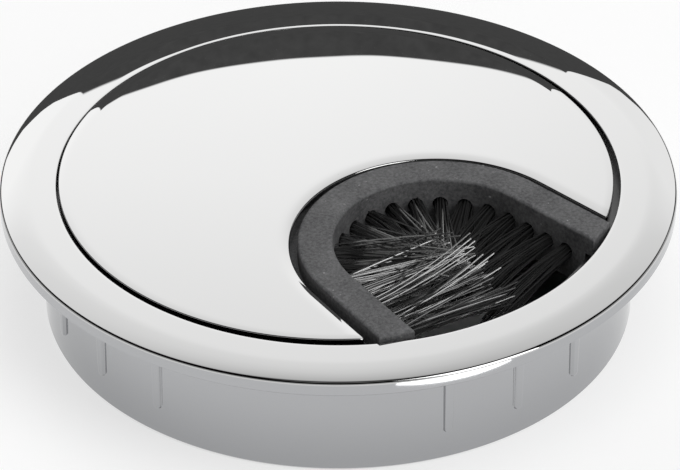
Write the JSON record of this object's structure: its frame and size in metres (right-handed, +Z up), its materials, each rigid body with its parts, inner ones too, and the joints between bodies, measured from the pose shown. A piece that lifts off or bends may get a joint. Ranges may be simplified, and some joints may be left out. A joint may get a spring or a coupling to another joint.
{
  "type": "brush cable grommet",
  "caption": "Round desk cable grommet: flanged ribbed sleeve, lift-out cover plate and a U-shaped brush insert that closes round the cables.",
  "frame": {"origin": "on the sleeve's axis, in the plane of the flange's underside, which lies on the desk top", "axes": "+Z up out of the desk along the sleeve's axis; -Y towards the open mouth of the brush bay"},
  "size_m": [0.09, 0.09, 0.0192],
  "materials": {
    "chrome_plate": "polished chrome plating on cast zinc",
    "black_plastic": "matte moulded plastic with a fine mottle",
    "bristles": "smooth black nylon filament",
    "screw_steel": "bright zinc plating"
  },
  "bodies": {
    "root": {"mounting_ring": "chrome_plate", "cover": "chrome_plate", "brush_holder": "black_plastic", "holder_screws": "screw_steel", "tuft_01": "bristles", "tuft_02": "bristles", "tuft_03": "bristles", "tuft_04": "bristles", "tuft_05": "bristles", "tuft_06": "bristles", "tuft_07": "bristles", "tuft_08": "bristles", "tuft_09": "bristles", "tuft_10": "bristles", "tuft_11": "bristles", "tuft_12": "bristles", "tuft_13": "bristles", "tuft_14": "bristles", "tuft_15": "bristles", "tuft_16": "bristles", "tuft_17": "bristles", "tuft_18": "bristles", "tuft_19": "bristles"}
  },
  "joints": []
}
